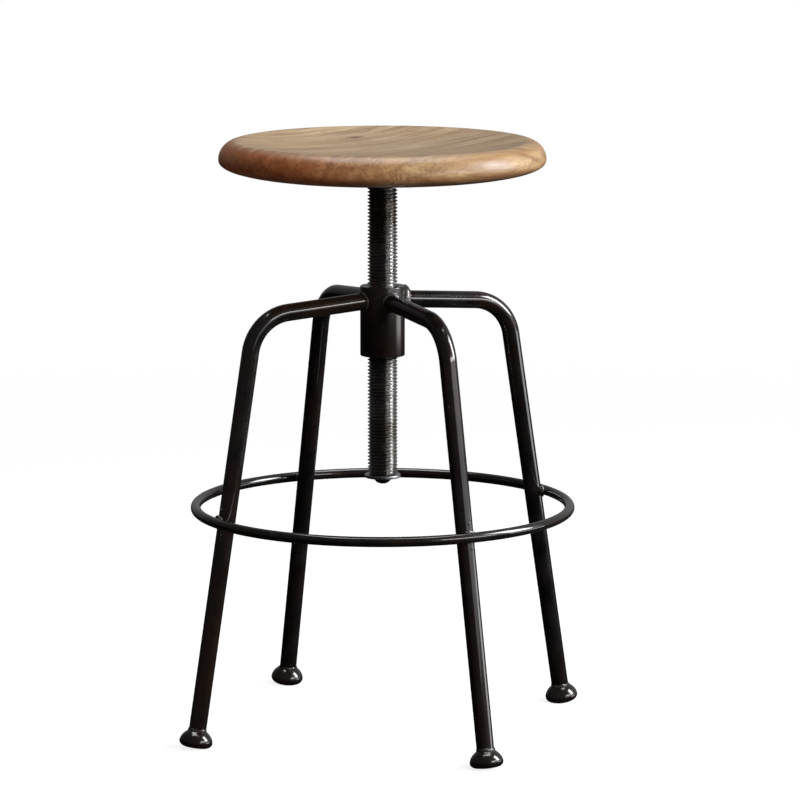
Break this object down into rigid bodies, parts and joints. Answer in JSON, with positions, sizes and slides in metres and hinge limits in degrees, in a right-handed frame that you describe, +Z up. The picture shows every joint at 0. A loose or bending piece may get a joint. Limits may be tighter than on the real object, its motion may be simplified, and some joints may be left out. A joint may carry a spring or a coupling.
{
  "type": "adjustable swivel stool",
  "caption": "Backless stool with a round dished wooden seat on a threaded steel spindle that turns to set its height, on splayed bent pipe legs with a round footrest ring.",
  "frame": {"origin": "on the floor, on the spindle's axis, under the middle of the stool", "axes": "+Z up along the spindle; the arms leave the hub along the diagonals of +X and +Y"},
  "size_m": [0.3844, 0.3844, 0.5921],
  "materials": {
    "oak": "satin",
    "lacquered_steel": "gloss",
    "oiled_steel": "satin",
    "zinc_steel": "satin"
  },
  "bodies": {
    "frame": {"hub": "lacquered_steel", "footrest_ring": "lacquered_steel", "leg_1": "lacquered_steel", "leg_2": "lacquered_steel", "leg_3": "lacquered_steel", "leg_4": "lacquered_steel", "foot_1": "lacquered_steel", "foot_2": "lacquered_steel", "foot_3": "lacquered_steel", "foot_4": "lacquered_steel"},
    "stop_washer": {"stop_washer": "zinc_steel"},
    "seat_and_spindle": {"seat": "oak", "seat_plate": "lacquered_steel", "spindle": "oiled_steel", "stop_screw": "lacquered_steel", "seat_screw_1": "zinc_steel", "seat_screw_2": "zinc_steel", "seat_screw_3": "zinc_steel", "seat_screw_4": "zinc_steel", "seat_screw_5": "zinc_steel", "seat_screw_6": "zinc_steel"}
  },
  "joints": [
    {"name": "seat_height", "type": "slide", "parent": "frame", "child": "stop_washer", "axis": [0, 0, 1], "range_m": [-0.105, 0.11987]},
    {"name": "seat_swivel", "type": "hinge", "parent": "stop_washer", "child": "seat_and_spindle", "pos_m": [0, 0, 0.2571], "axis": [0, 0, 1], "range_deg": [-10800, 12330]}
  ],
  "couplings": [
    {"joint": "seat_height", "follows": "seat_swivel", "m_per_rad": 0.00055704}
  ]
}
